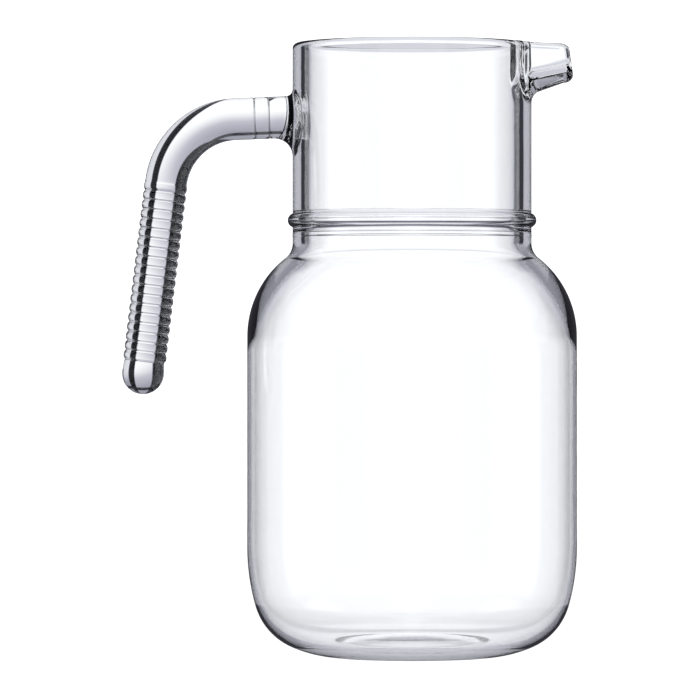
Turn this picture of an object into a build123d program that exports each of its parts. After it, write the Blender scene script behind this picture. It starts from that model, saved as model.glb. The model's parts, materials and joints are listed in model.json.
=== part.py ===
from build123d import *
import os
from math import cos, radians, sin, tan

# Large glass water jug, in millimetres.
# Origin: centre of the resting plane, on the axis of the round body.
# +Z up, +X towards the pouring spout, -X towards the handle.

# Body and neck
HEIGHT = 232.4
BODY_R = 62.45
BODY_WALL = 1.25
NECK_R = 45.25
NECK_BORE_R = 40.8
RIM_ROUND_R = 1.9

# Round bead on the outside of the neck
BEAD_Z = 165.2
BEAD_HALF_H = 2.6
BEAD_PROUD = 1.85

# Shoulder: an S of two tangent arcs that both turn through the same angle
SHOULDER_TURN = 52.0
SHOULDER_TOP_Z = 156.5
SHOULDER_HOLLOW_R = 7.0
SHOULDER_INNER_TURN = 52.0
SHOULDER_INNER_TOP_Z = 157.0
SHOULDER_INNER_HOLLOW_R = 11.5

# Lower corner: (radius, turn reached) of each tangent arc, from the wall to the base
CORNER_ARCS = ((81.0, 16.0), (24.0, 66.5), (48.0, 85.0))
INNER_CORNER_ARCS = ((80.0, 16.0), (23.0, 66.0), (46.0, 90.0))
BASE_RING_WIDTH = 2.0
PUNT_HEIGHT = 3.5
BASE_INSIDE_Z = 2.1
BASE_DOME_RISE = 3.1

# Pouring spout: an open-topped channel level with the rim
SPOUT_TIP_X = 60.8
SPOUT_TIP_LEAN = 1.6
SPOUT_TOP_Z = 231.8
SPOUT_ROOT_HALF_W = 13.0
SPOUT_TIP_HALF_W = 10.5
SPOUT_ROOT_BOTTOM_Z = 213.2
SPOUT_TIP_BOTTOM_Z = 218.6
SPOUT_EDGE_R = 7.0
SPOUT_LIP_R = 2.4
SPOUT_WALL = 3.2
CHANNEL_ROOT_FLOOR_Z = 218.9
CHANNEL_TIP_FLOOR_Z = 222.8
CHANNEL_EDGE_R = 4.5
SPOUT_BURIED = 4.0
SPOUT_ROOT_R = 4.0

# Handle: a solid glass rod welded to a short stub on the neck
ROD_R = 7.95
ARM_DROOP = 2.3
GRIP_LEAN = 6.9
CORNER_X = -90.4
CORNER_Z = 202.6
BEND_R = 27.4
WELD_X = -56.8
GRIP_END_Z = 107.3
RIB_COUNT = 19
RIB_PITCH = 3.58
RIB_CREST_R = 8.2
RIB_VALLEY_R = 7.5
ROOT_FLARE_R = 5.0


def meridian(radius, height):
    """Point of the half section, given its distance from the axis and its height."""
    return Vector(radius, 0, height)


def corner_chain(start, arcs):
    """Tangent arcs that turn from straight down towards the axis, and the point they reach."""
    edges = []
    here = start
    turned = 0.0
    for radius, turn in arcs:
        centre = here - radius * meridian(cos(radians(turned)), -sin(radians(turned)))
        middle = (turned + turn) / 2
        through = centre + radius * meridian(cos(radians(middle)), -sin(radians(middle)))
        end = centre + radius * meridian(cos(radians(turn)), -sin(radians(turn)))
        edges.append(ThreePointArc(here, through, end))
        here = end
        turned = turn
    return edges, here


def corner_drop(arcs):
    """How far a chain of corner arcs descends."""
    drop = 0.0
    turned = 0.0
    for radius, turn in arcs:
        drop += radius * (sin(radians(turn)) - sin(radians(turned)))
        turned = turn
    return drop


def shoulder(neck_r, body_r, top_z, hollow_r, turn):
    """The two arcs of the shoulder, and the point where the straight body wall begins."""
    spread = 1 - cos(radians(turn))
    crown_r = (body_r - neck_r) / spread - hollow_r
    start = meridian(neck_r, top_z)
    hollow_centre = start + meridian(hollow_r, 0)
    half = radians(turn / 2)
    full = radians(turn)
    hollow_mid = hollow_centre - hollow_r * meridian(cos(half), sin(half))
    joint = hollow_centre - hollow_r * meridian(cos(full), sin(full))
    crown_centre = joint - crown_r * meridian(cos(full), sin(full))
    crown_mid = crown_centre + crown_r * meridian(cos(half), sin(half))
    end = crown_centre + meridian(crown_r, 0)
    return [ThreePointArc(start, hollow_mid, joint), ThreePointArc(joint, crown_mid, end)], end


def outer_form():
    """Solid of revolution inside the outer skin, bead included, with a hollow punt below."""
    rim_start = meridian(NECK_R, HEIGHT - RIM_ROUND_R)
    bead_top = meridian(NECK_R, BEAD_Z + BEAD_HALF_H)
    bead_tip = meridian(NECK_R + BEAD_PROUD, BEAD_Z)
    bead_bottom = meridian(NECK_R, BEAD_Z - BEAD_HALF_H)
    rim_middle = meridian(
        NECK_R - RIM_ROUND_R * (1 - cos(radians(45))), HEIGHT - RIM_ROUND_R * (1 - sin(radians(45)))
    )
    rim_end = meridian(NECK_R - RIM_ROUND_R, HEIGHT)
    shoulder_arcs, wall_top = shoulder(
        NECK_R, BODY_R, SHOULDER_TOP_Z, SHOULDER_HOLLOW_R, SHOULDER_TURN
    )
    wall_bottom = meridian(BODY_R, corner_drop(CORNER_ARCS))
    corner_arcs, ring_outer = corner_chain(wall_bottom, CORNER_ARCS)
    ring_outer = meridian(ring_outer.X, 0)
    ring_inner = meridian(ring_outer.X - BASE_RING_WIDTH, 0)
    punt_top = meridian(0, PUNT_HEIGHT)
    punt_mid = meridian(-ring_inner.X, 0)
    edges = [
        Line(meridian(0, HEIGHT), rim_end),
        ThreePointArc(rim_end, rim_middle, rim_start),
        Line(rim_start, bead_top),
        ThreePointArc(bead_top, bead_tip, bead_bottom),
        Line(bead_bottom, meridian(NECK_R, SHOULDER_TOP_Z)),
        *shoulder_arcs,
        Line(wall_top, wall_bottom),
        *corner_arcs,
        Line(ring_outer, ring_inner),
        ThreePointArc(ring_inner, punt_top, punt_mid).trim(0, 0.5),
        Line(punt_top, meridian(0, HEIGHT)),
    ]
    return revolve(make_face(edges), Axis.Z)


def cavity():
    """The space inside the jug, from the domed inside of the base out past the rim."""
    above = HEIGHT + RIM_ROUND_R
    rim_in = meridian(NECK_BORE_R, HEIGHT - RIM_ROUND_R)
    rim_middle = meridian(
        NECK_BORE_R + RIM_ROUND_R * (1 - cos(radians(45))),
        HEIGHT - RIM_ROUND_R * (1 - sin(radians(45))),
    )
    rim_out = meridian(NECK_BORE_R + RIM_ROUND_R, HEIGHT)
    inner_r = BODY_R - BODY_WALL
    shoulder_arcs, wall_top = shoulder(
        NECK_BORE_R, inner_r, SHOULDER_INNER_TOP_Z, SHOULDER_INNER_HOLLOW_R, SHOULDER_INNER_TURN
    )
    wall_bottom = meridian(inner_r, BASE_INSIDE_Z + corner_drop(INNER_CORNER_ARCS))
    corner_arcs, base_edge = corner_chain(wall_bottom, INNER_CORNER_ARCS)
    dome_top = meridian(0, BASE_INSIDE_Z + BASE_DOME_RISE)
    edges = [
        Line(meridian(0, above), meridian(rim_out.X, above)),
        Line(meridian(rim_out.X, above), rim_out),
        ThreePointArc(rim_out, rim_middle, rim_in),
        Line(rim_in, meridian(NECK_BORE_R, SHOULDER_INNER_TOP_Z)),
        *shoulder_arcs,
        Line(wall_top, wall_bottom),
        *corner_arcs,
        ThreePointArc(base_edge, dome_top, meridian(-base_edge.X, BASE_INSIDE_Z)).trim(0, 0.5),
        Line(dome_top, meridian(0, above)),
    ]
    return revolve(make_face(edges), Axis.Z)


def tapered_prism(side_points, root_x, root_half_w, tip_x, tip_half_w):
    """A side outline in the XZ plane given width along Y that tapers from the root to the tip."""
    slab = extrude(make_face(Polyline(*side_points, close=True)), amount=root_half_w * 2, both=True)
    top = HEIGHT * 2
    plan = Plane.XY * make_face(
        Polyline(
            (root_x, -root_half_w),
            (tip_x, -tip_half_w),
            (tip_x, tip_half_w),
            (root_x, root_half_w),
            close=True,
        )
    )
    return slab & extrude(plan, amount=top)


def spout_line(root_z, tip_z, x):
    """Height, at x, of a straight line along the spout, given its heights at the neck and the tip."""
    return root_z + (tip_z - root_z) * (x - NECK_R) / (SPOUT_TIP_X - NECK_R)


def round_lower_edges(block, below_z, radius):
    """Round the long edges of the spout or of its channel that lie below a height."""
    lower = [e for e in block.edges().filter_by(GeomType.LINE) if e.center().Z < below_z]
    return fillet([e for e in lower if abs(e.tangent_at(0.5).X) > 0.9], radius)


def spout_outside():
    """Rounded block that the pouring channel is cut from, buried in the neck at its root."""
    root_x = NECK_BORE_R - SPOUT_BURIED
    root_z = spout_line(SPOUT_ROOT_BOTTOM_Z, SPOUT_TIP_BOTTOM_Z, root_x)
    outline = [
        (root_x, 0, SPOUT_TOP_Z),
        (SPOUT_TIP_X - SPOUT_TIP_LEAN, 0, SPOUT_TOP_Z),
        (SPOUT_TIP_X, 0, SPOUT_TIP_BOTTOM_Z),
        (root_x, 0, root_z),
    ]
    block = tapered_prism(outline, root_x, SPOUT_ROOT_HALF_W, SPOUT_TIP_X, SPOUT_TIP_HALF_W)
    block = round_lower_edges(block, SPOUT_TIP_BOTTOM_Z, SPOUT_EDGE_R)
    tip = block.faces().sort_by(Axis.X)[-1]
    return fillet(tip.edges(), SPOUT_LIP_R)


def spout_channel():
    """Space poured through: open above, and open into the neck at its root."""
    root_x = NECK_BORE_R - SPOUT_BURIED
    tip_x = SPOUT_TIP_X + SPOUT_WALL
    root_z = spout_line(CHANNEL_ROOT_FLOOR_Z, CHANNEL_TIP_FLOOR_Z, root_x)
    tip_z = spout_line(CHANNEL_ROOT_FLOOR_Z, CHANNEL_TIP_FLOOR_Z, tip_x)
    above = HEIGHT + SPOUT_WALL
    outline = [
        (root_x, 0, above),
        (tip_x, 0, above),
        (tip_x, 0, tip_z),
        (root_x, 0, root_z),
    ]
    root_half = SPOUT_ROOT_HALF_W - SPOUT_WALL
    tip_half = SPOUT_TIP_HALF_W - SPOUT_WALL
    block = tapered_prism(outline, root_x, root_half, tip_x, tip_half)
    return round_lower_edges(block, tip_z, CHANNEL_EDGE_R)


def neck_core():
    """The round space inside the neck's outer surface, used to trim what stands on it."""
    return Pos(0, 0, HEIGHT / 2) * Cylinder(NECK_R, HEIGHT * 2)


def round_spout_root(glass):
    """Fill the corner between the neck and the sides and underside of the spout."""
    root = []
    for edge in glass.edges():
        middle = edge @ 0.5
        on_neck = abs((middle.X**2 + middle.Y**2) ** 0.5 - NECK_R) < 0.05
        in_spout = middle.X > 0 and abs(middle.Y) <= SPOUT_ROOT_HALF_W
        if on_neck and in_spout and BEAD_Z + BEAD_PROUD < middle.Z < SPOUT_TOP_Z - RIM_ROUND_R:
            if edge.length < NECK_R:
                root.append(edge)
    return fillet(root, SPOUT_ROOT_R)


def make_vessel():
    """Neck, spout, bead, shoulder, body and base, all one piece of glass."""
    glass = round_spout_root(outer_form() + spout_outside())
    glass -= cavity()
    glass -= spout_channel()
    return glass.solids().sort_by(SortBy.VOLUME)[-1]


def arm_point(distance):
    """Point on the arm's axis, at a distance from the bend's corner back towards the neck."""
    droop = radians(ARM_DROOP)
    return Vector(CORNER_X + distance * cos(droop), 0, CORNER_Z + distance * sin(droop))


def weld_distance():
    """Distance of the weld from the bend's corner, along the arm."""
    return (WELD_X - CORNER_X) / cos(radians(ARM_DROOP))


def make_handle_stub():
    """Short flared root that stands on the neck and ends at the weld."""
    length = -WELD_X - NECK_BORE_R
    weld = arm_point(weld_distance())
    plane = Plane(origin=weld, z_dir=arm_point(weld_distance() + 1) - weld)
    rod = plane * Pos(0, 0, length / 2) * Cylinder(ROD_R, length)
    # the flare is a quarter round swept about the rod's axis, where the rod meets the neck
    flare_start = -WELD_X - NECK_R - ROOT_FLARE_R
    flare_end = flare_start + ROOT_FLARE_R
    flare_centre = (ROD_R + ROOT_FLARE_R, flare_start)
    mid = (
        flare_centre[0] - ROOT_FLARE_R * cos(radians(45)),
        flare_centre[1] + ROOT_FLARE_R * sin(radians(45)),
    )
    section = [
        Line((0, 0, flare_start), (ROD_R, 0, flare_start)),
        ThreePointArc(
            (ROD_R, 0, flare_start), (mid[0], 0, mid[1]), (ROD_R + ROOT_FLARE_R, 0, flare_end)
        ),
        Line((ROD_R + ROOT_FLARE_R, 0, flare_end), (ROD_R + ROOT_FLARE_R, 0, length)),
        Line((ROD_R + ROOT_FLARE_R, 0, length), (0, 0, length)),
        Line((0, 0, length), (0, 0, flare_start)),
    ]
    flare = plane * revolve(make_face(section), Axis.Z)
    stub = rod + flare - neck_core()
    return stub.solids().sort_by(SortBy.VOLUME)[-1]


def grip_start():
    """Point where the bend ends and the straight grip begins."""
    tangent = BEND_R * tan(radians((90 - ARM_DROOP - GRIP_LEAN) / 2))
    lean = radians(GRIP_LEAN)
    return Vector(CORNER_X - tangent * sin(lean), 0, CORNER_Z - tangent * cos(lean))


def grip_length():
    """Length of the grip's axis, from the bend to the centre of its rounded end."""
    return (grip_start().Z - GRIP_END_Z) / cos(radians(GRIP_LEAN))


def make_grip():
    """Ribbed rod with a rounded end, turned about its own axis and leaned into place."""
    length = grip_length()
    ribs_bottom = length - RIB_COUNT * RIB_PITCH
    diagonal = ROD_R * cos(radians(45))
    edges = [
        ThreePointArc((0, 0, -ROD_R), (diagonal, 0, -diagonal), (ROD_R, 0, 0)),
        Line((ROD_R, 0, 0), (RIB_VALLEY_R, 0, ribs_bottom)),
    ]
    for rib in range(RIB_COUNT):
        low = ribs_bottom + rib * RIB_PITCH
        high = low + RIB_PITCH
        edges.append(
            ThreePointArc(
                (RIB_VALLEY_R, 0, low), (RIB_CREST_R, 0, (low + high) / 2), (RIB_VALLEY_R, 0, high)
            )
        )
    edges.append(Line((RIB_VALLEY_R, 0, length), (0, 0, length)))
    edges.append(Line((0, 0, length), (0, 0, -ROD_R)))
    turned = revolve(make_face(edges), Axis.Z)
    lean = radians(GRIP_LEAN)
    end = grip_start() - length * Vector(sin(lean), 0, cos(lean))
    return Pos(end) * Rot(0, GRIP_LEAN, 0) * turned


def make_handle():
    """Arm beyond the weld, bend and ribbed grip, one solid rod."""
    tangent = BEND_R * tan(radians((90 - ARM_DROOP - GRIP_LEAN) / 2))
    weld = arm_point(weld_distance())
    bend_start = arm_point(tangent)
    direction = bend_start - weld
    path = Line(weld, bend_start) + TangentArc(bend_start, grip_start(), tangent=direction)
    profile = Plane(origin=weld, z_dir=direction) * Circle(ROD_R)
    rod = sweep(profile, path=path)
    handle = rod + make_grip()
    return handle.solids().sort_by(SortBy.VOLUME)[-1]


os.makedirs("parts", exist_ok=True)
export_step(make_vessel(), "parts/vessel.step")
export_step(make_handle_stub(), "parts/handle_stub.step")
export_step(make_handle(), "parts/handle.step")
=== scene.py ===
import json
import math

import bmesh
import bpy
import numpy as np
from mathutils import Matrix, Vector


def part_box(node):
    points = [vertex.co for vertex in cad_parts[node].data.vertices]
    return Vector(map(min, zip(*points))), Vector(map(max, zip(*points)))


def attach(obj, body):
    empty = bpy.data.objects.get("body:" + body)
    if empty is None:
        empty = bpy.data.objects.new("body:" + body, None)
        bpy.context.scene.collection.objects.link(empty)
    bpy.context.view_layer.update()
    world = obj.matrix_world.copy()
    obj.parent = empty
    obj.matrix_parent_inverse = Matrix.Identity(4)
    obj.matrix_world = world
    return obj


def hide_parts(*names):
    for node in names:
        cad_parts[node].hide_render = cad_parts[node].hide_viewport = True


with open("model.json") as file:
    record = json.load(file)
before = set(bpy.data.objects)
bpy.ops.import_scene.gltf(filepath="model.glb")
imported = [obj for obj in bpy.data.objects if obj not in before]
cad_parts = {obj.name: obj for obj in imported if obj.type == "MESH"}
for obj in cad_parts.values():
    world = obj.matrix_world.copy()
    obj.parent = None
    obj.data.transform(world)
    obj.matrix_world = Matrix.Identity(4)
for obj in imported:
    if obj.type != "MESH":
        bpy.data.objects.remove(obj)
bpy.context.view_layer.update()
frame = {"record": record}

# Lengths are in millimetres until a mesh is written, and TO_M turns them into metres.
TO_M = 0.001
MOUNTS = {mount["name"]: mount for mount in frame["record"]["mounts"]}
VESSEL_HIGH = np.array(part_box("vessel")[1]) / TO_M

# Body and neck
HEIGHT = VESSEL_HIGH[2]
BODY_R = VESSEL_HIGH[1]
BODY_WALL = 1.25
NECK_R = 45.25
BORE_R = MOUNTS["mouth"]["dims"]["r_mm"]
RIM_RISE = 1.9
RIM_Z = HEIGHT - RIM_RISE
BEAD_Z = 165.2
BEAD_HALF_H = 2.6
BEAD_PROUD = 1.85
SEAM_Z = 159.4
SEAM_HALF_H = 0.45
SEAM_PROUD = 0.12

# Shoulder and lower corner, as in the CAD model
SHOULDER_TURN = math.radians(52)
SHOULDER_TOP_Z = 156.5
SHOULDER_HOLLOW_R = 7.0
SHOULDER_INNER_TURN = math.radians(52)
SHOULDER_INNER_TOP_Z = 157.0
SHOULDER_INNER_HOLLOW_R = 11.5
CORNER_ARCS = ((81.0, 16.0), (24.0, 66.5), (48.0, 85.0))
INNER_CORNER_ARCS = ((80.0, 16.0), (23.0, 66.0), (46.0, 90.0))
BASE_RING_WIDTH = 2.0
RING_EDGE_R = 0.8
PUNT_HEIGHT = 3.5
BASE_INSIDE_Z = 2.1
BASE_DOME_RISE = 3.1

# Spout
SPOUT_TIP_X = 60.8
LIP_LENGTH = 3.3
SPOUT_ROOT_HALF_W = 13.0
SPOUT_TIP_HALF_W = 10.5
SPOUT_WALL = 3.2
SPOUT_BOTTOM_Z = (213.2, 218.6)
CHANNEL_FLOOR_Z = (218.9, 222.8)
SPOUT_EDGE_R = 7.0
CHANNEL_EDGE_R = 4.5
SPOUT_TOP_FALL = 0.5
SPOUT_TIP_LEAN = 1.6
SPOUT_CORNER_R = 1.0
SIDE_LIP_RISE = 1.7
SPOUT_FILLETS = (3.0, 5.0)
CHANNEL_FILLETS = (2.0, 5.0)

# Handle
ROD_R = 7.95
ARM_DROOP = math.radians(2.3)
GRIP_LEAN = math.radians(6.9)
CORNER_X = -90.4
CORNER_Z = 202.6
BEND_R = 27.4
WELD_X = -56.8
GRIP_END_Z = 107.3
RIB_COUNT = 19
RIB_PITCH = 3.58
RIB_CREST_R = 8.2
RIB_VALLEY_R = 7.5
GROOVE_OFFSET = 2.7
GROOVE_HALF_W = 0.4
GROOVE_DEPTH = 0.22
ROOT_FILLET_MEAN_R = 4.75
ROOT_FILLET_SPREAD = 2.05

# Mesh density
COLUMNS = 360
NECK_ROWS = 60
SPOUT_COLUMNS = 30
SPOUT_ROWS = 30
ROOT_COLUMNS = 24
ROOT_ROWS = (8, 41)
WELD_STEP = 0.0005


# ---------------------------------------------------------------- outlines

def arc(centre, radius, start, end, count):
    """Points of an arc in the half section, ends included; angles from +radius towards +height."""
    angles = np.linspace(start, end, count + 1)
    return np.stack([centre[0] + radius * np.cos(angles), centre[1] + radius * np.sin(angles)], 1)


def straight(start, end, count):
    """Points of a straight stretch, ends included."""
    return np.linspace(start, end, count + 1)


def chain(*stretches):
    """Joins stretches that share their end points."""
    return np.concatenate([stretches[0]] + [stretch[1:] for stretch in stretches[1:]])


def shoulder_outline(neck_r, body_r, top_z, hollow_r, turn):
    """The hollow arc below the neck and the crowned arc that runs into the body wall."""
    crown_r = (body_r - neck_r) / (1 - math.cos(turn)) - hollow_r
    hollow = arc((neck_r + hollow_r, top_z), hollow_r, math.pi, math.pi + turn, 14)
    joint = hollow[-1]
    centre = joint - crown_r * np.array([math.cos(turn), math.sin(turn)])
    return chain(hollow, arc(centre, crown_r, turn, 0, 36))


def corner_outline(start, arcs):
    """Tangent arcs from the wall, turning towards the axis."""
    stretches = []
    here = np.array(start)
    turned = 0.0
    for radius, turn in arcs:
        turn = math.radians(turn)
        centre = here - radius * np.array([math.cos(turned), -math.sin(turned)])
        stretches.append(arc(centre, radius, -turned, -turn, max(6, int(math.degrees(turn - turned) / 2))))
        here = stretches[-1][-1]
        turned = turn
    return chain(*stretches)


def corner_drop(arcs):
    """How far a chain of corner arcs descends."""
    drop = 0.0
    turned = 0.0
    for radius, turn in arcs:
        drop += radius * (math.sin(math.radians(turn)) - math.sin(turned))
        turned = math.radians(turn)
    return drop


def dome(edge_r, edge_z, rise, count):
    """Shallow spherical cap from its edge to the axis, the axis point left out."""
    radius = (edge_r**2 + rise**2) / (2 * rise)
    half = math.asin(edge_r / radius)
    angles = np.linspace(half, 0, count + 1)[:-1]
    return np.stack([radius * np.sin(angles), edge_z + rise - radius * (1 - np.cos(angles))], 1)


def outer_outline():
    """Half section of the outer skin, from the rim's outer edge to beside the axis."""
    bead_chord_r = (BEAD_HALF_H**2 + BEAD_PROUD**2) / (2 * BEAD_PROUD)
    bead_half = math.asin(BEAD_HALF_H / bead_chord_r)
    bead_centre = (NECK_R + BEAD_PROUD - bead_chord_r, BEAD_Z)
    wall_bottom = (BODY_R, corner_drop(CORNER_ARCS))
    shoulder = shoulder_outline(NECK_R, BODY_R, SHOULDER_TOP_Z, SHOULDER_HOLLOW_R, SHOULDER_TURN)
    corner = corner_outline(wall_bottom, CORNER_ARCS)
    ring_outer = corner[-1] * (1, 0)
    ring_inner = ring_outer - (BASE_RING_WIDTH, 0)
    neck = straight((NECK_R, RIM_Z), (NECK_R, BEAD_Z + BEAD_HALF_H), NECK_ROWS)
    seam = np.array([
        (NECK_R, BEAD_Z - BEAD_HALF_H),
        (NECK_R, SEAM_Z + 2 * SEAM_HALF_H),
        (NECK_R, SEAM_Z + SEAM_HALF_H),
        (NECK_R + SEAM_PROUD, SEAM_Z),
        (NECK_R, SEAM_Z - SEAM_HALF_H),
        (NECK_R, SEAM_Z - 2 * SEAM_HALF_H),
        (NECK_R, SHOULDER_TOP_Z),
    ])
    punt = dome(ring_inner[0] - RING_EDGE_R, RING_EDGE_R * 0.4, PUNT_HEIGHT - RING_EDGE_R * 0.4, 20)
    return chain(
        neck,
        arc(bead_centre, bead_chord_r, bead_half, -bead_half, 20),
        seam,
        shoulder,
        straight(shoulder[-1], wall_bottom, 18),
        corner[:-1],
        straight(corner[-2], ring_outer, 1),
        straight(ring_outer, ring_inner, 2),
        straight(ring_inner, punt[0], 2),
        punt,
    )


def inner_outline():
    """Half section of the inner skin, from the rim's inner edge to beside the axis."""
    body_r = BODY_R - BODY_WALL
    wall_bottom = (body_r, BASE_INSIDE_Z + corner_drop(INNER_CORNER_ARCS))
    shoulder = shoulder_outline(
        BORE_R, body_r, SHOULDER_INNER_TOP_Z, SHOULDER_INNER_HOLLOW_R, SHOULDER_INNER_TURN
    )
    corner = corner_outline(wall_bottom, INNER_CORNER_ARCS)
    neck_low = BEAD_Z + BEAD_HALF_H
    return chain(
        straight((BORE_R, RIM_Z), (BORE_R, neck_low), NECK_ROWS),
        straight((BORE_R, neck_low), (BORE_R, SHOULDER_INNER_TOP_Z), 12),
        shoulder,
        straight(shoulder[-1], wall_bottom, 18),
        corner,
        dome(corner[-1][0], BASE_INSIDE_Z, BASE_DOME_RISE, 20),
    )


# ---------------------------------------------------------------- skin of quads

class Skin:
    """Collects patches of quads; patches that share edge points are welded afterwards."""

    def __init__(self):
        self.points = []
        self.faces = []
        self.tags = []
        self.total = 0

    def add(self, points, faces, tag):
        self.points.append(np.asarray(points, float).reshape(-1, 3))
        self.faces.extend([tuple(int(i) + self.total for i in face) for face in faces])
        self.tags.extend([tag] * len(faces))
        self.total += len(self.points[-1])

    def grid(self, points, tag, closed=False, skip=None):
        """Quads over points[row, column]; closed joins the last column to the first."""
        rows, columns = points.shape[:2]
        last = columns if closed else columns - 1
        faces = []
        for i in range(rows - 1):
            for j in range(last):
                if skip and skip(i, j):
                    continue
                k = (j + 1) % columns
                faces.append((i * columns + j, i * columns + k, (i + 1) * columns + k, (i + 1) * columns + j))
        self.add(points, faces, tag)

    def fan(self, ring, centre, tag):
        """Triangles from a closed ring to its centre point."""
        count = len(ring)
        self.add(np.vstack([ring, centre]), [(i, (i + 1) % count, count) for i in range(count)], tag)

    def welded(self):
        """Shared points and faces, with unused points dropped."""
        points = np.concatenate(self.points)
        keys = np.round(points / WELD_STEP).astype(np.int64)
        _, first, same = np.unique(keys, axis=0, return_index=True, return_inverse=True)
        same = same.ravel()
        faces = [tuple(same[i] for i in face) for face in self.faces]
        used = np.unique(np.concatenate([np.array(face) for face in faces]))
        renumber = np.full(len(first), -1)
        renumber[used] = np.arange(len(used))
        return points[first][used], [tuple(int(renumber[i]) for i in face) for face in faces]


def turned(outline):
    """Points of a surface of revolution: rows down the outline, columns round +Z from +X."""
    angles = np.arange(COLUMNS) * 2 * math.pi / COLUMNS
    circle = np.stack([np.cos(angles), np.sin(angles)], 1)
    flat = outline[:, None, 0, None] * circle[None]
    height = np.broadcast_to(outline[:, 1, None, None], (len(outline), COLUMNS, 1))
    return np.concatenate([flat, height], 2)


def unit(vectors):
    return vectors / np.linalg.norm(vectors, axis=-1, keepdims=True)


def root_fillets(base, along, out, radius, wall_r, targets, arc_count, wall_count, bulge=None):
    """Rounded junction between a tube or channel and a round wall.

    base, along and out are, for each column, a point on the tube, its direction away from the axis and
    its normal. Each column is a fillet arc, tangent to the tube and to the wall, then a run over the
    wall to its target, given as (angle, height).
    """
    samples = np.linspace(0, 1, 400)[None, :] * (2.4 * radius)[:, None]

    def wall_at(offset):
        p = base[:, None, :2] + out[:, None, :2] * offset[..., None]
        d = along[:, None, :2]
        pd = (p * d).sum(2)
        dd = (d * d).sum(2)
        return (-pd + np.sqrt(np.maximum(pd**2 - dd * ((p**2).sum(2) - wall_r**2), 0))) / dd

    wall = wall_at(samples)
    low = wall[:, 0].copy()
    high = low + 5 * radius
    for _ in range(40):
        middle = (low + high) / 2
        gap = np.hypot(middle[:, None] - wall, radius[:, None] - samples).min(1) - radius
        low = np.where(gap < 0, middle, low)
        high = np.where(gap < 0, high, middle)
    centre = (low + high) / 2
    nearest = np.hypot(centre[:, None] - wall, radius[:, None] - samples).argmin(1)
    pick = np.arange(len(base))
    end_a, end_b = wall[pick, nearest], samples[pick, nearest]
    end_angle = np.arctan2(end_b - radius, end_a - centre)
    end_angle = np.where(end_angle > 0, end_angle - 2 * math.pi, end_angle)
    columns = []
    for step in np.linspace(0, 1, arc_count + 1):
        angle = -math.pi / 2 + step * (end_angle + math.pi / 2)
        a = centre + radius * np.cos(angle)
        b = radius + radius * np.sin(angle)
        columns.append(base + along * a[:, None] + out * b[:, None])
    touch = columns[-1]
    touch_angle = np.arctan2(touch[:, 1], touch[:, 0])
    turn = (targets[:, 0] - touch_angle + math.pi) % (2 * math.pi) - math.pi
    run = []
    for step in np.linspace(0, 1, wall_count + 1):
        angle = touch_angle + step * turn
        height = touch[:, 2] + step * (targets[:, 1] - touch[:, 2])
        run.append(np.stack([wall_r * np.cos(angle), wall_r * np.sin(angle), height], 1))
    run[0] = touch
    return np.stack(columns), np.stack(run)


# ---------------------------------------------------------------- spout

def u_outline(half_w, top_z, bottom_z, edge_r, count):
    """Points down one side of a U, across its bottom and up the other, closer together at the ends."""
    side = top_z - bottom_z - edge_r
    bend = edge_r * math.pi / 2
    flat = 2 * (half_w - edge_r)
    length = 2 * side + 2 * bend + flat
    share = np.linspace(0, 1, count + 1)
    reach = length * (share - 0.7 * np.sin(2 * math.pi * share) / (2 * math.pi))
    points = []
    for s in reach:
        mirrored = s > length / 2
        t = length - s if mirrored else s
        if t < side:
            y, z = -half_w, top_z - t
        elif t < side + bend:
            a = (t - side) / edge_r
            y, z = -half_w + edge_r * (1 - math.cos(a)), bottom_z + edge_r * (1 - math.sin(a))
        else:
            y, z = -half_w + edge_r + (t - side - bend), bottom_z
        points.append((-y if mirrored else y, z))
    return np.array(points)


def spout_sheet(half_ws, bottoms, edge_r, wall_r, fillets, rows_z):
    """One skin of the spout, outer or inner, from its lip to the edge of its opening in the lathe grid."""
    count = 2 * SPOUT_ROWS + 2 * SPOUT_COLUMNS
    end_x = SPOUT_TIP_X - LIP_LENGTH
    share = (end_x - NECK_R) / (SPOUT_TIP_X - NECK_R)
    end_w = half_ws[0] + share * (half_ws[1] - half_ws[0])
    end_bottom = bottoms[0] + share * (bottoms[1] - bottoms[0])
    root = u_outline(half_ws[0], RIM_Z, bottoms[0], edge_r, count)
    tip = u_outline(end_w, RIM_Z - SPOUT_TOP_FALL, end_bottom, edge_r, count)
    base = np.concatenate([np.full((count + 1, 1), NECK_R), root], 1)
    below = (RIM_Z - SPOUT_TOP_FALL - tip[:, 1:2]) / (RIM_Z - SPOUT_TOP_FALL - end_bottom)
    ends = np.concatenate([end_x - SPOUT_TIP_LEAN * (1 - below), tip], 1)
    along = unit(ends - base)
    below_top = np.minimum(RIM_Z - SPOUT_TOP_FALL - ends[:, 2], SPOUT_CORNER_R)
    trim = SPOUT_CORNER_R - np.sqrt(SPOUT_CORNER_R**2 - (SPOUT_CORNER_R - below_top) ** 2)
    ends = ends - along * trim[:, None]
    tangent = np.gradient(root, axis=0)
    tangent = np.concatenate([np.zeros((count + 1, 1)), tangent], 1)
    out = unit(np.cross(tangent, along))
    depth = np.clip((RIM_Z - base[:, 2]) / (RIM_Z - bottoms[0]), 0, 1)
    radius = fillets[0] + (fillets[1] - fillets[0]) * depth**2
    turn = math.radians(360 / COLUMNS * SPOUT_COLUMNS)
    down = [(-turn, z) for z in rows_z]
    across = [(a, rows_z[-1]) for a in np.linspace(-turn, turn, 2 * SPOUT_COLUMNS + 1)]
    up = [(turn, z) for z in rows_z[::-1]]
    targets = np.array(down + across[1:-1] + up)
    fillet, run = root_fillets(base, along, out, radius, wall_r, targets, 10, 10)
    steps = np.linspace(0, 1, 13)[:, None, None]
    # closer together towards the lip, where the corner is small
    steps = steps ** 1.3
    shaft = ends[None] + (fillet[0] - ends)[None] * steps
    return np.concatenate([shaft, fillet[1:], run[1:]])


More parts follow.
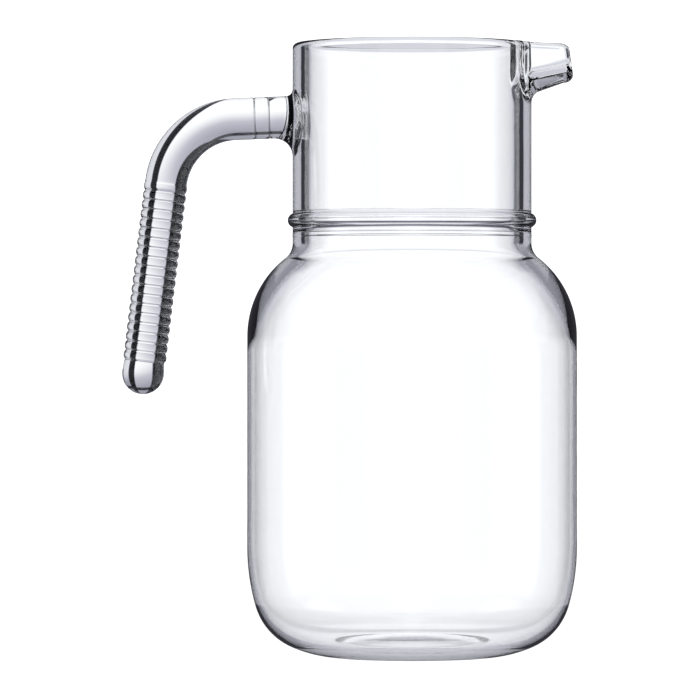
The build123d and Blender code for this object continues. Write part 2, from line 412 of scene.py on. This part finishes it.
def lip(outer_edge, inner_edge, count):
    """Rounded edge that joins the outer skin to the inner one, all along the rim and round the spout."""
    middle = (outer_edge + inner_edge) / 2
    half = (outer_edge - inner_edge) / 2
    tangent = np.roll(middle, -1, 0) - np.roll(middle, 1, 0)
    rise = unit(np.cross(unit(half), unit(tangent)))
    rise = rise * np.where(rise[:, 2:3] + rise[:, 0:1] < 0, -1, 1)
    forward = np.clip(rise[:, 0], 0, 1) ** 2
    on_spout = np.clip((middle[:, 0] - BORE_R) / (NECK_R - BORE_R), 0, 1)
    height = RIM_RISE + on_spout * (SIDE_LIP_RISE - RIM_RISE) + forward * (LIP_LENGTH - SIDE_LIP_RISE)
    rows = []
    for angle in np.linspace(0, math.pi, count + 1):
        rows.append(middle + half * math.cos(angle) + rise * (height * math.sin(angle))[:, None])
    return np.stack(rows)


# ---------------------------------------------------------------- handle

def bend_tangent():
    return BEND_R * math.tan((math.pi / 2 - ARM_DROOP - GRIP_LEAN) / 2)


def grip_length():
    start_z = CORNER_Z - bend_tangent() * math.cos(GRIP_LEAN)
    return (start_z - GRIP_END_Z) / math.cos(GRIP_LEAN)


def rod_frame(distance):
    """Centre, direction and outward side of the rod, by distance from the weld along its axis."""
    arm = np.array([-math.cos(ARM_DROOP), 0, -math.sin(ARM_DROOP)])
    grip = np.array([-math.sin(GRIP_LEAN), 0, -math.cos(GRIP_LEAN)])
    corner = np.array([CORNER_X, 0, CORNER_Z])
    arm_length = (WELD_X - CORNER_X) / math.cos(ARM_DROOP) - bend_tangent()
    turn = math.pi / 2 - ARM_DROOP - GRIP_LEAN
    bend_length = BEND_R * turn
    if distance <= arm_length:
        here = corner - arm * (bend_tangent() + arm_length - distance)
        angle = 0.0
    elif distance <= arm_length + bend_length:
        angle = (distance - arm_length) / BEND_R
        start = corner - arm * bend_tangent()
        side = np.array([-arm[2], 0, arm[0]])
        here = start + BEND_R * (arm * math.sin(angle) + side * (1 - math.cos(angle)))
    else:
        angle = turn
        here = corner + grip * (bend_tangent() + distance - arm_length - bend_length)
    heading = ARM_DROOP + angle
    direction = np.array([-math.cos(heading), 0, -math.sin(heading)])
    outward = np.array([-math.sin(heading), 0, math.cos(heading)])
    return here, direction, outward


def rod_ring(distance, radius, angles):
    """Ring of points round the rod's axis; angle 0 is +Y and 90 degrees is the outward side."""
    here, _, outward = rod_frame(distance)
    across = np.array([0, 1, 0])
    return here + radius * (np.cos(angles)[:, None] * across + np.sin(angles)[:, None] * outward)


def rib_radius(share):
    """Radius of the grip within one rib, from valley to valley: an arc."""
    sagitta = RIB_CREST_R - RIB_VALLEY_R
    arc_r = ((RIB_PITCH / 2) ** 2 + sagitta**2) / (2 * sagitta)
    x = (share - 0.5) * RIB_PITCH
    return RIB_CREST_R - arc_r + math.sqrt(arc_r**2 - x**2)


def weld_groove(distance):
    """Depth of the fine rings that the hot joint leaves on the rod, one each side of the weld."""
    offset = np.clip(np.abs(np.abs(distance) - GROOVE_OFFSET) / GROOVE_HALF_W, 0, 1)
    return GROOVE_DEPTH * np.cos(offset * math.pi / 2) ** 2


def groove_stations():
    return GROOVE_OFFSET + GROOVE_HALF_W * np.linspace(-1, 1, 9)


def rod_stations():
    """(distance, radius) of each ring, from the weld to the start of the rounded end."""
    arm_length = (WELD_X - CORNER_X) / math.cos(ARM_DROOP) - bend_tangent()
    bend_length = BEND_R * (math.pi / 2 - ARM_DROOP - GRIP_LEAN)
    arm = np.union1d(np.linspace(0, arm_length, 8), groove_stations())
    stations = [(d, ROD_R - weld_groove(d)) for d in arm]
    stations += [(arm_length + d, ROD_R) for d in np.linspace(0, bend_length, 45)[1:]]
    grip_start = arm_length + bend_length
    for rib in range(RIB_COUNT):
        for step in range(0 if rib else 1, 12):
            share = step / 12
            radius = rib_radius(share)
            if rib == 0 and share < 0.5:
                radius = ROD_R + (RIB_CREST_R - ROD_R) * math.sin(math.pi * share) ** 2
            stations.append((grip_start + (rib + share) * RIB_PITCH, radius))
    ribs_end = grip_start + RIB_COUNT * RIB_PITCH
    end = grip_start + grip_length()
    stations.append((ribs_end, RIB_VALLEY_R))
    for share in np.linspace(0, 1, 9)[1:]:
        ease = math.sin(share * math.pi / 2)
        stations.append((ribs_end + share * (end - ribs_end), RIB_VALLEY_R + (ROD_R - RIB_VALLEY_R) * ease))
    return stations


# ---------------------------------------------------------------- build the skin

def build_skin():
    skin = Skin()
    outer = turned(outer_outline())
    inner = turned(inner_outline())
    rows_z = outer[: SPOUT_ROWS + 1, 0, 2]
    sector = SPOUT_COLUMNS

    def in_spout(i, j):
        return i < SPOUT_ROWS and (j < sector or j >= COLUMNS - sector)

    half_turn = COLUMNS // 2

    def in_root(i, j):
        return ROOT_ROWS[0] <= i < ROOT_ROWS[1] and half_turn - ROOT_COLUMNS <= j < half_turn + ROOT_COLUMNS

    skin.grid(outer, "vessel", closed=True, skip=lambda i, j: in_spout(i, j) or in_root(i, j))
    skin.fan(outer[-1], (0, 0, PUNT_HEIGHT), "vessel")
    skin.grid(inner, "vessel", closed=True, skip=in_spout)
    skin.fan(inner[-1], (0, 0, BASE_INSIDE_Z + BASE_DOME_RISE), "vessel")

    spout_outer = spout_sheet(
        (SPOUT_ROOT_HALF_W, SPOUT_TIP_HALF_W), SPOUT_BOTTOM_Z, SPOUT_EDGE_R, NECK_R, SPOUT_FILLETS, rows_z
    )
    spout_inner = spout_sheet(
        (SPOUT_ROOT_HALF_W - SPOUT_WALL, SPOUT_TIP_HALF_W - SPOUT_WALL),
        CHANNEL_FLOOR_Z, CHANNEL_EDGE_R, BORE_R, CHANNEL_FILLETS, rows_z,
    )
    skin.grid(spout_outer, "vessel")
    skin.grid(spout_inner, "vessel")

    def edge(lathe, spout):
        round_part = lathe[0, sector : COLUMNS - sector + 1]
        return np.concatenate([
            round_part, spout[::-1, 0][1:], spout[0, 1:-1], spout[:, -1][:-1]
        ])

    rim = lip(edge(outer, spout_outer), edge(inner, spout_inner), 12)
    skin.grid(rim, "vessel", closed=True)

    # root of the handle
    rows = outer[ROOT_ROWS[0] : ROOT_ROWS[1] + 1, 0, 2]
    turn = math.radians(360 / COLUMNS * ROOT_COLUMNS)
    right = [(math.pi - turn, z) for z in rows[::-1]]
    over = [(a, rows[0]) for a in np.linspace(math.pi - turn, math.pi + turn, 2 * ROOT_COLUMNS + 1)]
    left = [(math.pi + turn, z) for z in rows]
    under = [(a, rows[-1]) for a in np.linspace(math.pi + turn, math.pi - turn, 2 * ROOT_COLUMNS + 1)]
    targets = np.array(right[:-1] + over[:-1] + left[:-1] + under[:-1])
    centre_z = CORNER_Z + (-NECK_R - CORNER_X) * math.tan(ARM_DROOP)
    angles = np.arctan2(targets[:, 1] - centre_z, NECK_R * np.sin(targets[:, 0]))
    weld, direction, _ = rod_frame(0)
    ring = rod_ring(0, ROD_R, angles)
    normals = unit(ring - weld)
    along = np.broadcast_to(direction, ring.shape)
    radius = ROOT_FILLET_MEAN_R - ROOT_FILLET_SPREAD * np.sin(angles)
    fillet, run = root_fillets(ring, along, normals, radius, NECK_R, targets, 12, 10)
    reach = ((fillet[0] - ring) * -direction).sum(1)[:, None]
    rows = [ring]
    for offset in groove_stations():
        rows.append(ring - direction * offset - normals * weld_groove(offset))
    rows += [ring - direction * reach * share for share in (0.85, 1)]
    stub = np.concatenate([rows, fillet[1:]])
    skin.grid(stub, "handle_stub", closed=True)
    skin.grid(run, "vessel", closed=True)

    rod = np.stack([rod_ring(distance, radius, angles) for distance, radius in rod_stations()])
    skin.grid(rod, "handle", closed=True)
    end = rod_stations()[-1][0]
    tip, direction, _ = rod_frame(end)
    round_end = []
    for lift in np.linspace(0, math.pi / 2, 17)[:-1]:
        ring_at = rod_ring(end, ROD_R * math.cos(lift), angles)
        round_end.append(ring_at + direction * ROD_R * math.sin(lift))
    skin.grid(np.stack(round_end), "handle", closed=True)
    skin.fan(round_end[-1], tip + direction * ROD_R, "handle")
    return skin, run[0], ring


def oriented(points, faces):
    """The same faces with outward normals, and the normal at each point."""
    mesh = bpy.data.meshes.new("skin")
    mesh.from_pydata([tuple(p) for p in points], [], faces)
    bm = bmesh.new()
    bm.from_mesh(mesh)
    bmesh.ops.recalc_face_normals(bm, faces=bm.faces)
    open_edges = sum(1 for edge in bm.edges if len(edge.link_faces) != 2)
    bm.normal_update()
    bm.verts.ensure_lookup_table()
    normals = np.array([v.normal for v in bm.verts])
    faces = [tuple(v.index for v in face.verts) for face in bm.faces]
    bm.free()
    bpy.data.meshes.remove(mesh)
    if open_edges:
        print("open edges in the skin:", open_edges)
    return faces, normals


def weld_cap(loop, wall_r, rings):
    """Rings of points that close a weld, shrinking over the neck wall or flat, and the centre point."""
    centre = loop.mean(0)
    out = []
    for share in np.linspace(0, 1, rings + 1)[:-1]:
        points = loop + (centre - loop) * share
        if wall_r:
            points[:, :2] *= (wall_r / np.linalg.norm(points[:, :2], axis=1))[:, None]
        out.append(points)
    if wall_r:
        centre[:2] *= wall_r / np.linalg.norm(centre[:2])
    return np.stack(out), centre


def make_piece(name, parts, glass, joint):
    """One piece of the glass with its weld caps; parts holds (points, faces, normals, is_cap)."""
    mesh = bpy.data.meshes.new(name)
    points, faces, normals, caps = parts
    mesh.from_pydata([tuple(p * TO_M) for p in points], [], faces)
    mesh.materials.append(glass)
    mesh.materials.append(joint)
    for polygon, is_cap in zip(mesh.polygons, caps):
        polygon.use_smooth = True
        polygon.material_index = 1 if is_cap else 0
    mesh.normals_split_custom_set_from_vertices([tuple(n) for n in normals])
    piece = bpy.data.objects.new(name, mesh)
    bpy.context.scene.collection.objects.link(piece)
    return piece


def cap_faces(cap, centre, facing):
    """Points and faces of a cap, turned so that they face along facing."""
    rings, count = cap.shape[:2]
    points = np.vstack([cap.reshape(-1, 3), centre])
    faces = []
    for i in range(rings - 1):
        for j in range(count):
            k = (j + 1) % count
            faces.append((i * count + j, i * count + k, (i + 1) * count + k, (i + 1) * count + j))
    last = (rings - 1) * count
    faces += [(last + j, last + (j + 1) % count, rings * count) for j in range(count)]
    a, b, c = (points[i] for i in faces[-1])
    if np.dot(np.cross(b - a, c - a), facing) < 0:
        faces = [face[::-1] for face in faces]
    return points, faces


def join_parts(points, faces, normals, caps):
    """Adds caps to the faces of one piece and welds their edges to it."""
    used = np.unique(np.concatenate([np.array(face) for face in faces]))
    renumber = {int(old): new for new, old in enumerate(used)}
    all_points = list(points[used])
    all_normals = list(normals[used])
    all_faces = [tuple(renumber[i] for i in face) for face in faces]
    is_cap = [False] * len(all_faces)
    key = {tuple(np.round(p / WELD_STEP).astype(np.int64)): i for i, p in enumerate(all_points)}
    for cap_points, cap_face_list, facing in caps:
        index = []
        for p in cap_points:
            k = tuple(np.round(p / WELD_STEP).astype(np.int64))
            if k not in key:
                key[k] = len(all_points)
                all_points.append(p)
                all_normals.append(np.array(facing, float))
            index.append(key[k])
        for face in cap_face_list:
            all_faces.append(tuple(index[i] for i in face))
            is_cap.append(True)
    return np.array(all_points), all_faces, np.array(all_normals), is_cap


# ---------------------------------------------------------------- materials

def new_material(name):
    material = bpy.data.materials.new(name)
    material.use_nodes = True
    material.node_tree.nodes.clear()
    return material, material.node_tree


def glass_material():
    """Clear soda-lime glass with the faint waviness that pressing and blowing leave."""
    material, tree = new_material("clear_glass")
    nodes, links = tree.nodes, tree.links
    output = nodes.new("ShaderNodeOutputMaterial")
    shader = nodes.new("ShaderNodeBsdfPrincipled")
    shader.inputs["Base Color"].default_value = (0.965, 0.975, 0.99, 1)
    shader.inputs["Transmission Weight"].default_value = 1.0
    shader.inputs["IOR"].default_value = 1.52
    shader.inputs["Roughness"].default_value = 0.0
    links.new(shader.outputs["BSDF"], output.inputs["Surface"])
    place = nodes.new("ShaderNodeTexCoord")
    ripple = nodes.new("ShaderNodeTexNoise")
    ripple.inputs["Scale"].default_value = 55.0
    ripple.inputs["Detail"].default_value = 2.0
    bump = nodes.new("ShaderNodeBump")
    bump.inputs["Strength"].default_value = 1.0
    bump.inputs["Distance"].default_value = 0.00002
    links.new(place.outputs["Object"], ripple.inputs["Vector"])
    links.new(ripple.outputs["Fac"], bump.inputs["Height"])
    links.new(bump.outputs["Normal"], shader.inputs["Normal"])
    return material


def joint_material():
    """The inside of a fused weld, which light crosses as if it weren't there."""
    material, tree = new_material("fused_joint")
    output = tree.nodes.new("ShaderNodeOutputMaterial")
    clear = tree.nodes.new("ShaderNodeBsdfTransparent")
    tree.links.new(clear.outputs["BSDF"], output.inputs["Surface"])
    return material


# ---------------------------------------------------------------- stage

def add_camera():
    """Level camera, far enough away to look almost straight on, framed as a tall product picture."""
    frame_mm = 265.2
    distance = 2083.0
    data = bpy.data.cameras.new("camera")
    data.sensor_width = 36.0
    data.lens = data.sensor_width * distance / frame_mm
    data.clip_start = 0.05
    data.clip_end = 50.0
    camera = bpy.data.objects.new("camera", data)
    camera.location = (-23.5 * TO_M, -distance * TO_M, 116.1 * TO_M)
    camera.rotation_euler = (math.pi / 2, 0, 0)
    bpy.context.scene.collection.objects.link(camera)
    bpy.context.scene.camera = camera


def math_node(tree, operation, a, b=None):
    node = tree.nodes.new("ShaderNodeMath")
    node.operation = operation
    for socket, value in zip(node.inputs, (a, b)):
        if value is None:
            continue
        if isinstance(value, (int, float)):
            socket.default_value = value
        else:
            tree.links.new(value, socket)
    return node.outputs[0]


def tone_ramp(tree, value, stops):
    """Tone that runs linearly through stops of (value, tone), and is level outside them."""
    low, high = stops[0][0], stops[-1][0]
    scaled = math_node(tree, "DIVIDE", math_node(tree, "SUBTRACT", value, low), high - low)
    node = tree.nodes.new("ShaderNodeValToRGB")
    tree.links.new(scaled, node.inputs["Fac"])
    elements = node.color_ramp.elements
    while len(elements) < len(stops):
        elements.new(0.5)
    for element, (place, tone) in zip(elements, stops):
        element.position = (place - low) / (high - low)
        element.color = (tone, tone, tone, 1)
    return node.outputs["Color"]


def chosen(tree, first, second, factor):
    """First where factor is 0 and second where it is 1."""
    node = tree.nodes.new("ShaderNodeMixRGB")
    for socket, value in ((node.inputs["Color1"], first), (node.inputs["Color2"], second)):
        if isinstance(value, tuple):
            socket.default_value = (*value, 1)
        else:
            tree.links.new(value, socket)
    tree.links.new(factor, node.inputs["Fac"])
    return node.outputs["Color"]


def is_depth(tree, path, depth):
    node = math_node(tree, "COMPARE", path.outputs["Ray Depth"], depth).node
    node.inputs[2].default_value = 0.5
    return node.outputs[0]


def multiplied(tree, first, second):
    node = tree.nodes.new("ShaderNodeVectorMath")
    node.operation = "MULTIPLY"
    tree.links.new(first, node.inputs[0])
    if isinstance(second, tuple):
        node.inputs[1].default_value = second
    else:
        tree.links.new(second, node.inputs[1])
    return node.outputs["Vector"]


def lavender(tree, tone):
    """Mid greys lean to blue, while black and white stay neutral."""
    split = tree.nodes.new("ShaderNodeSeparateXYZ")
    tree.links.new(tone, split.inputs["Vector"])
    value = split.outputs[0]
    lift = math_node(tree, "MULTIPLY", value, math_node(tree, "SUBTRACT", 1.0, value))
    lift = math_node(tree, "MAXIMUM", math_node(tree, "MULTIPLY", lift, LAVENDER), 0.0)
    joined = tree.nodes.new("ShaderNodeCombineXYZ")
    tree.links.new(value, joined.inputs[0])
    tree.links.new(value, joined.inputs[1])
    tree.links.new(math_node(tree, "ADD", value, lift), joined.inputs[2])
    return joined.outputs["Vector"]


# Tones against angles in degrees, fitted to one view. PANEL is what shows through both walls, EDGE is
# light turned back inside a wall, and ROD is what shows through solid glass.
PANEL_SIDE = ((0, 1), (6, 1), (9, 0.9), (13, 0.78), (17, 0.62), (20, 0.03), (45, 0.03))
PANEL_HEIGHT = (
    (-40, 0.78), (-28, 0.68), (-20, 0.6), (-13, 0.74), (-8, 0.9), (-4, 1),
    (10, 1), (14, 0.8), (18, 0.1), (25, 0.1), (30, 0.8), (60, 0.85),
)
CARD_FADE = ((-13, 0), (-7, 1))
EDGE_SIDE = ((0, 0.3), (13, 0.3), (17, 0.42), (33, 0.52), (35, 0.03), (45, 0.03))
EDGE_OPEN = ((-14, 1), (-8, 0), (8, 0), (14, 1))
REFLECTED = 0.05
EDGE_HEIGHT = ((-30, 1.3), (-10, 1), (15, 1), (25, 0.8))
ROD_RISE = ((-15, 0.94), (-7, 0.82), (-3, 0.74), (0, 0.66), (4, 0.55), (8, 0.46), (15, 0.4), (30, 0.3))
ROD_SIDE = ((-75, 0.7), (-66, 0), (-22, 0), (-19.5, 1), (14, 1), (16, 0), (30, 0), (33, 0.7))
ROD_TOP = ((31, 1), (34, 0.05), (42, 0.05), (46, 1))
ROD_TILT = 0.25
WHITE_LEVEL = 1.25
LAVENDER = 0.25
REFLECTION_DEPTH, ROD_DEPTH, EDGE_DEPTH = 2, 3, 4
BACKDROP = (1.3, 1.3, 1.3)
EDGE_OPEN_TONE = (0.4, 0.4, 0.4)


def add_world():
    """Surround of tones by direction, with a set for each number of times that a ray has met glass.

    A real studio can't light solid and thin glass apart like this. A camera ray counts as depth 1.
    """
    world = bpy.data.worlds.new("studio")
    bpy.context.scene.world = world
    world.use_nodes = True
    tree = world.node_tree
    tree.nodes.clear()
    place = tree.nodes.new("ShaderNodeTexCoord")
    split = tree.nodes.new("ShaderNodeSeparateXYZ")
    tree.links.new(place.outputs["Generated"], split.inputs["Vector"])
    x, y, z = split.outputs
    azimuth = math_node(tree, "MULTIPLY", math_node(tree, "ARCTAN2", x, y), 180 / math.pi)
    elevation = math_node(tree, "MULTIPLY", math_node(tree, "ARCSINE", z), 180 / math.pi)
    wrapped = math_node(tree, "WRAP", azimuth, 45)
    wrapped.node.inputs[2].default_value = -45
    from_panel = math_node(tree, "ABSOLUTE", wrapped)

    fade = tone_ramp(tree, elevation, CARD_FADE)
    side = chosen(tree, (1, 1, 1), tone_ramp(tree, from_panel, PANEL_SIDE), fade)
    hollow = multiplied(tree, side, tone_ramp(tree, elevation, PANEL_HEIGHT))
    edge = tone_ramp(tree, from_panel, EDGE_SIDE)
    edge = chosen(tree, edge, EDGE_OPEN_TONE, tone_ramp(tree, elevation, EDGE_OPEN))
    edge = multiplied(tree, edge, tone_ramp(tree, elevation, EDGE_HEIGHT))
    tilted = math_node(tree, "SUBTRACT", elevation, math_node(tree, "MULTIPLY", azimuth, ROD_TILT))
    rod = multiplied(tree, tone_ramp(tree, tilted, ROD_RISE), tone_ramp(tree, elevation, ROD_TOP))
    rod = multiplied(tree, rod, tone_ramp(tree, azimuth, ROD_SIDE))

    path = tree.nodes.new("ShaderNodeLightPath")
    tone = chosen(tree, hollow, rod, is_depth(tree, path, ROD_DEPTH))
    tone = chosen(tree, tone, edge, is_depth(tree, path, EDGE_DEPTH))
    tone = chosen(tree, tone, (REFLECTED,) * 3, is_depth(tree, path, REFLECTION_DEPTH))
    tone = multiplied(tree, tone, (WHITE_LEVEL,) * 3)
    colour = lavender(tree, tone)
    colour = chosen(tree, colour, BACKDROP, path.outputs["Is Camera Ray"])
    background = tree.nodes.new("ShaderNodeBackground")
    tree.links.new(colour, background.inputs["Color"])
    output = tree.nodes.new("ShaderNodeOutputWorld")
    tree.links.new(background.outputs["Background"], output.inputs["Surface"])


def add_floor():
    """Pale floor that only the camera sees, so it takes no shadow and the glass doesn't show it."""
    radius = 1.5
    mesh = bpy.data.meshes.new("floor")
    shape = bmesh.new()
    bmesh.ops.create_circle(shape, cap_ends=True, segments=96, radius=radius)
    shape.to_mesh(mesh)
    shape.free()
    floor = bpy.data.objects.new("floor", mesh)
    floor.location = (0, 0, -0.0002)
    material, tree = new_material("pale_floor")
    output = tree.nodes.new("ShaderNodeOutputMaterial")
    glow = tree.nodes.new("ShaderNodeEmission")
    glow.inputs["Strength"].default_value = 1.1
    tree.links.new(glow.outputs["Emission"], output.inputs["Surface"])
    mesh.materials.append(material)
    bpy.context.scene.collection.objects.link(floor)
    floor.visible_transmission = False
    floor.visible_glossy = False
    floor.visible_diffuse = False


def build_glass():
    skin, root_loop, weld_loop = build_skin()
    points, faces = skin.welded()
    faces, normals = oriented(points, faces)
    tags = skin.tags
    glass = glass_material()
    joint = joint_material()
    weld, direction, _ = rod_frame(0)
    root_cap, root_centre = weld_cap(root_loop, NECK_R, 6)
    weld_cap_rings, weld_centre = weld_cap(weld_loop, None, 3)
    outward = np.array([-1.0, 0, 0])
    caps = {
        "vessel": [(*cap_faces(root_cap, root_centre, outward), outward)],
        "handle_stub": [
            (*cap_faces(root_cap, root_centre, -outward), -outward),
            (*cap_faces(weld_cap_rings, weld_centre, direction), direction),
        ],
        "handle": [(*cap_faces(weld_cap_rings, weld_centre, -direction), -direction)],
    }
    for node in ("vessel", "handle_stub", "handle"):
        own = [face for face, tag in zip(faces, tags) if tag == node]
        parts = join_parts(points, own, normals, caps[node])
        piece = make_piece("glass_" + node, parts, glass, joint)
        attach(piece, "root")
        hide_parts(node)


add_camera()
build_glass()
add_world()
add_floor()
bpy.context.scene.view_settings.view_transform = "Standard"
